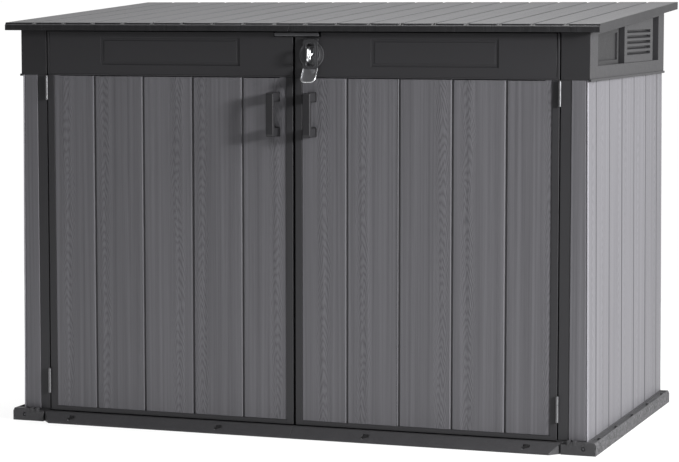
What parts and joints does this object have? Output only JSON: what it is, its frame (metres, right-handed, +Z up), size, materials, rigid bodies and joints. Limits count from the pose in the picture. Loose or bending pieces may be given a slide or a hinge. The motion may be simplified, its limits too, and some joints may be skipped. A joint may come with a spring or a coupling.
{
  "type": "horizontal garden storage box",
  "caption": "Horizontal outdoor storage box with ribbed walls, two hinged front doors with pull handles, a lift-up sloping lid on gas struts and a swivel hasp.",
  "frame": {"origin": "middle of the footprint, on the ground", "axes": "+Z up, +X along the width to the right seen from the doors, -Y out of the doors"},
  "size_m": [1.905, 1.108, 1.325],
  "materials": {
    "charcoal_plastic": "moulded, fine satin grain",
    "plank_plastic": "moulded wood grain",
    "roof_plastic": "moulded wood grain",
    "zinc_steel": "bright zinc plating",
    "dark_steel": "dark satin coating"
  },
  "bodies": {
    "carcass": {"floor_left": "charcoal_plastic", "floor_right": "charcoal_plastic", "threshold_left": "charcoal_plastic", "threshold_right": "charcoal_plastic", "side_wall_left": "plank_plastic", "side_wall_right": "plank_plastic", "side_frieze_left": "charcoal_plastic", "side_frieze_right": "charcoal_plastic", "vent_louvre_left": "charcoal_plastic", "vent_louvre_right": "charcoal_plastic", "door_jamb_left": "charcoal_plastic", "door_jamb_right": "charcoal_plastic", "rear_wall_left": "plank_plastic", "rear_wall_right": "plank_plastic", "rear_frieze": "charcoal_plastic", "lid_hinge_bracket_1": "charcoal_plastic", "lid_hinge_bracket_2": "charcoal_plastic", "lid_hinge_bracket_3": "charcoal_plastic", "lid_hinge_bracket_4": "charcoal_plastic", "lid_hinge_rod": "zinc_steel", "strut_wall_bracket_left": "dark_steel", "strut_wall_bracket_right": "dark_steel", "lower_hinge_leaf_fixed_left": "zinc_steel", "lower_hinge_leaf_fixed_right": "zinc_steel", "upper_hinge_leaf_fixed_left": "zinc_steel", "upper_hinge_leaf_fixed_right": "zinc_steel", "lower_hinge_pin_left": "zinc_steel", "lower_hinge_pin_right": "zinc_steel", "upper_hinge_pin_left": "zinc_steel", "upper_hinge_pin_right": "zinc_steel"},
    "lid": {"lid_panel_left": "roof_plastic", "lid_panel_right": "roof_plastic", "lid_seam_rail": "charcoal_plastic", "lid_front_rail": "dark_steel", "lid_keeper": "dark_steel", "strut_lid_bracket_left": "dark_steel", "strut_lid_bracket_right": "dark_steel"},
    "door_left": {"door_frame_left": "charcoal_plastic", "door_panel_left": "plank_plastic", "door_frieze_left": "charcoal_plastic", "door_handle_left": "charcoal_plastic", "lower_hinge_leaf_door_left": "zinc_steel", "upper_hinge_leaf_door_left": "zinc_steel"},
    "door_right": {"door_frame_right": "charcoal_plastic", "door_panel_right": "plank_plastic", "door_frieze_right": "charcoal_plastic", "door_handle_right": "charcoal_plastic", "lower_hinge_leaf_door_right": "zinc_steel", "upper_hinge_leaf_door_right": "zinc_steel", "hasp_leaf": "dark_steel", "hasp_pin": "zinc_steel", "staple_base": "dark_steel"},
    "hasp": {"hasp_plate": "dark_steel"},
    "staple": {"swivel_staple": "zinc_steel"},
    "strut_tube_left": {"strut_cylinder_left": "dark_steel"},
    "strut_piston_left": {"strut_rod_left": "zinc_steel"},
    "strut_tube_right": {"strut_cylinder_right": "dark_steel"},
    "strut_piston_right": {"strut_rod_right": "zinc_steel"}
  },
  "joints": [
    {"name": "lid_hinge", "type": "hinge", "parent": "carcass", "child": "lid", "pos_m": [0, 0.5345, 1.296], "axis": [-1, 0, 0], "range_deg": [0, 75]},
    {"name": "door_left_hinge", "type": "hinge", "parent": "carcass", "child": "door_left", "pos_m": [-0.827, -0.5045, 0], "axis": [0, 0, -1], "range_deg": [0, 110]},
    {"name": "door_right_hinge", "type": "hinge", "parent": "carcass", "child": "door_right", "pos_m": [0.827, -0.5045, 0], "axis": [0, 0, 1], "range_deg": [0, 110]},
    {"name": "hasp_hinge", "type": "hinge", "parent": "door_right", "child": "hasp", "pos_m": [0.0575, -0.506, 1.211], "axis": [-1, 0, 0], "range_deg": [0, 90]},
    {"name": "staple_turn", "type": "hinge", "parent": "door_right", "child": "staple", "pos_m": [0.0575, -0.4995, 1.166], "axis": [0, -1, 0], "range_deg": [0, 90]},
    {"name": "strut_left_pivot", "type": "hinge", "parent": "carcass", "child": "strut_tube_left", "pos_m": [-0.859, 0.4475, 1.08], "axis": [-1, 0, 0], "range_deg": [0, 25.92]},
    {"name": "strut_left_slide", "type": "slide", "parent": "strut_tube_left", "child": "strut_piston_left", "axis": [0, -0.3796, 0.9252], "range_m": [0, 0.16184]},
    {"name": "strut_right_pivot", "type": "hinge", "parent": "carcass", "child": "strut_tube_right", "pos_m": [0.859, 0.4475, 1.08], "axis": [-1, 0, 0], "range_deg": [0, 25.92]},
    {"name": "strut_right_slide", "type": "slide", "parent": "strut_tube_right", "child": "strut_piston_right", "axis": [0, -0.3796, 0.9252], "range_m": [0, 0.16184]}
  ],
  "couplings": [
    {"joint": "strut_left_pivot", "follows": "lid_hinge", "ratio": 0.34561},
    {"joint": "strut_left_slide", "follows": "lid_hinge", "m_per_rad": 0.12364},
    {"joint": "strut_right_pivot", "follows": "lid_hinge", "ratio": 0.34561},
    {"joint": "strut_right_slide", "follows": "lid_hinge", "m_per_rad": 0.12364}
  ]
}
